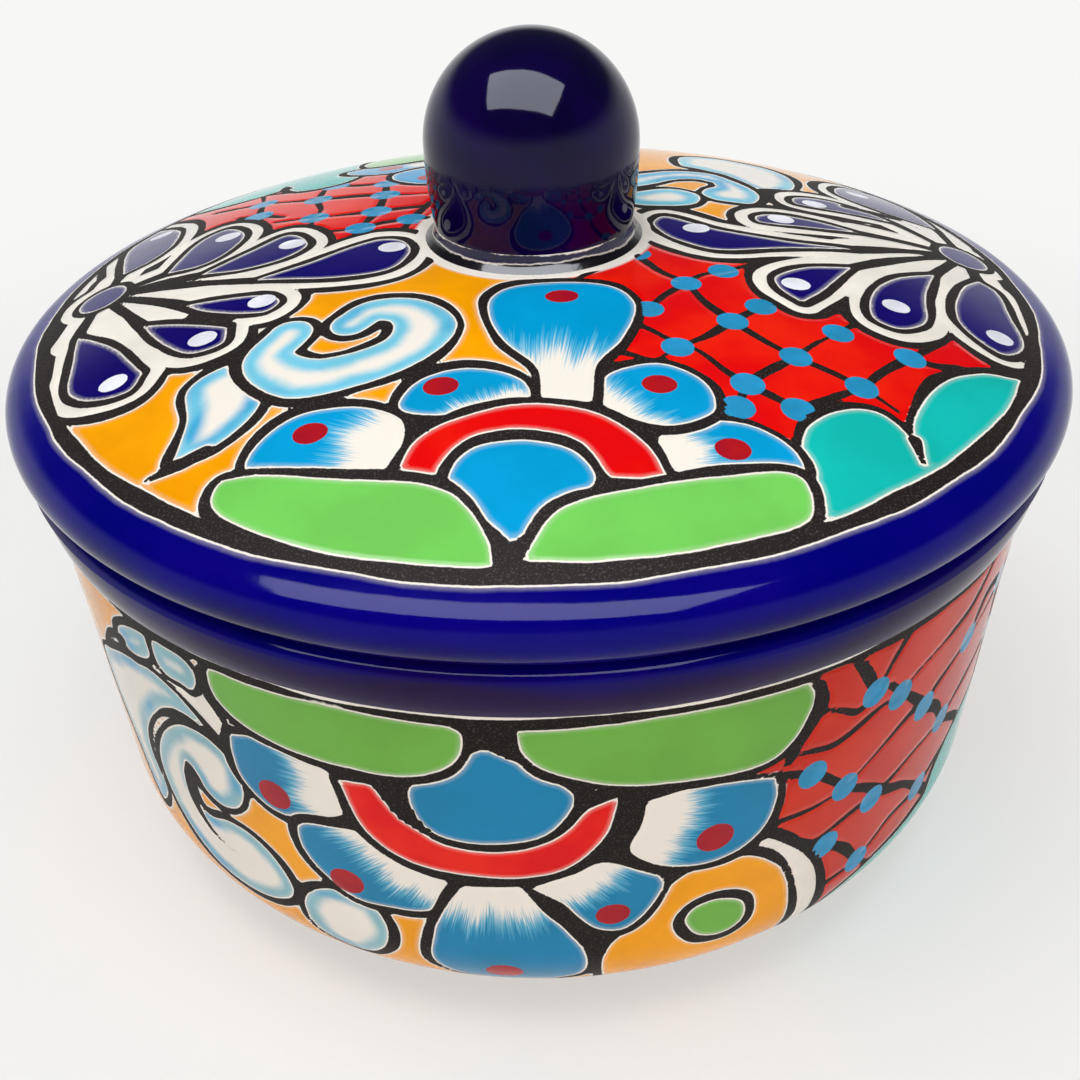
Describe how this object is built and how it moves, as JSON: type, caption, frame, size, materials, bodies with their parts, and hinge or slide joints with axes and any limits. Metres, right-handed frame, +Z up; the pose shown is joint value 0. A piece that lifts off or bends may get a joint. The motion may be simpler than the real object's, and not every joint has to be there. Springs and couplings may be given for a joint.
{
  "type": "tortilla warmer",
  "caption": "Round glazed earthenware tortilla warmer: a deep bowl with a foot ring and banded rim, and a domed lift-off lid with a locating flange and a ball knob.",
  "frame": {"origin": "centre of the foot ring, on the surface that the bowl stands on", "axes": "+Z up along the axis of the bowl and lid; -Y is the pictured front"},
  "size_m": [0.2406, 0.2406, 0.1867],
  "materials": {
    "painted_bowl": "gloss glaze over painted majolica decoration",
    "painted_lid": "gloss glaze over painted majolica decoration",
    "cobalt_glaze": "gloss cobalt glaze"
  },
  "bodies": {
    "bowl": {"bowl": "painted_bowl"},
    "lid": {"lid": "painted_lid", "knob": "cobalt_glaze", "knob_slip_collar": "cobalt_glaze"}
  },
  "joints": [
    {"name": "lid_lift", "type": "slide", "parent": "bowl", "child": "lid", "axis": [0, 0, 1], "range_m": [0, 0.15]}
  ]
}
